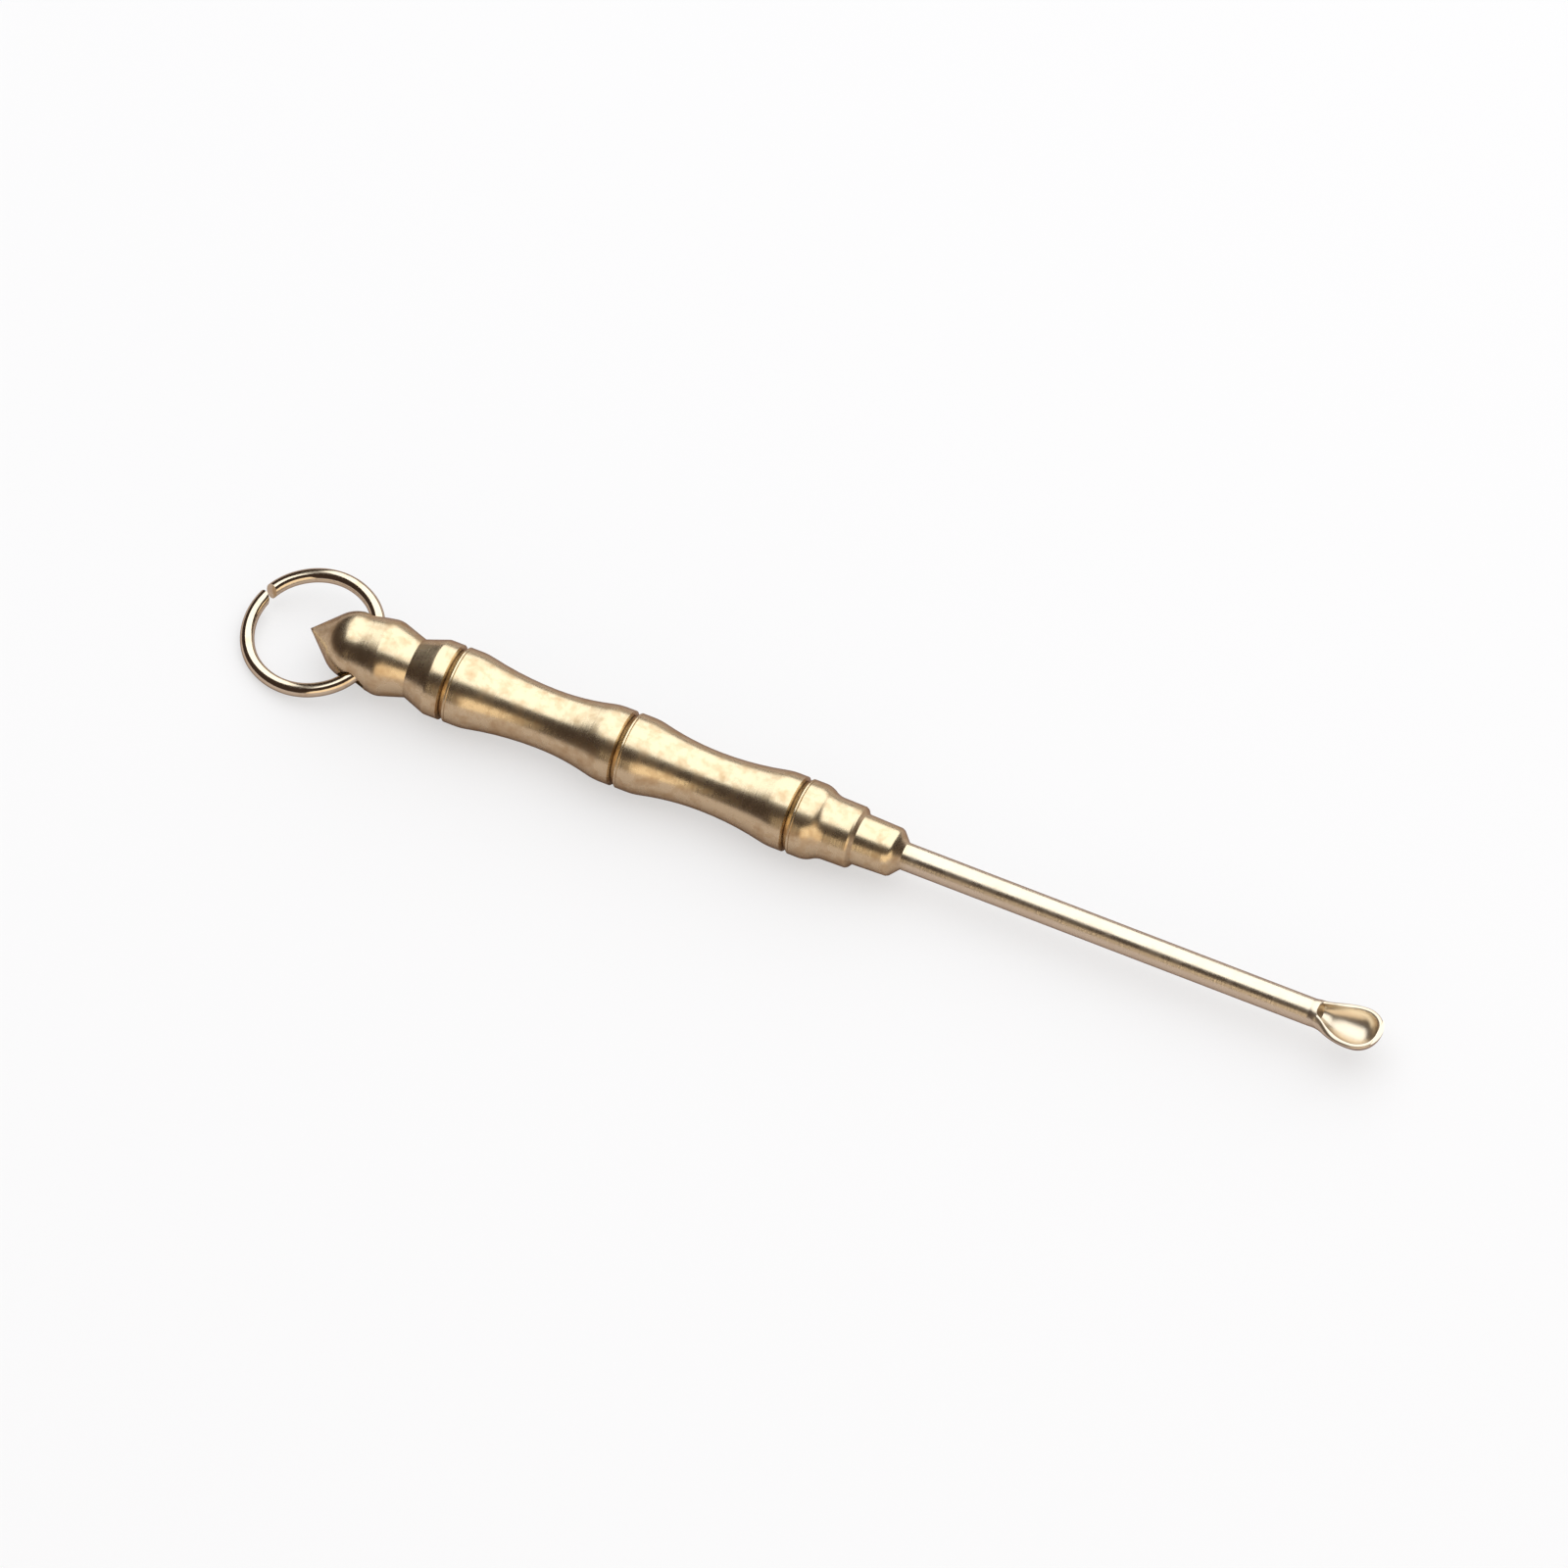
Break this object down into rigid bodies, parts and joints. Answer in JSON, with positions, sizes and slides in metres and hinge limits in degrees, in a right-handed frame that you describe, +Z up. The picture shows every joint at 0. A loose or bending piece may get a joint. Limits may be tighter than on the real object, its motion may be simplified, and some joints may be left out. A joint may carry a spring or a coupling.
{
  "type": "ear pick",
  "caption": "Slim turned ear pick with a bamboo-shaped handle, a small round scoop at the end of its rod and a loose split ring through its pointed head.",
  "frame": {"origin": "on the surface that the pick lies on, below the middle of the overall length and width, the loose ring included", "axes": "+X along the pick from the pointed head to the scoop, +Z up, the way the scoop's hollow faces, +Y to the left of +X"},
  "size_m": [0.0786, 0.0086, 0.005],
  "materials": {
    "turned_brass": "satin pale brass, turned, with fine turning lines and a light uneven tarnish",
    "ring_brass": "bright drawn brass wire, smooth"
  },
  "bodies": {
    "pick": {"ear_pick": "turned_brass"},
    "ring": {"jump_ring": "ring_brass"}
  },
  "joints": [
    {"name": "ring_swing", "type": "hinge", "parent": "pick", "child": "ring", "pos_m": [-0.03077, -0.00021, 0.0025], "axis": [0, 0.9511, 0.309], "range_deg": [-144, 170]}
  ]
}
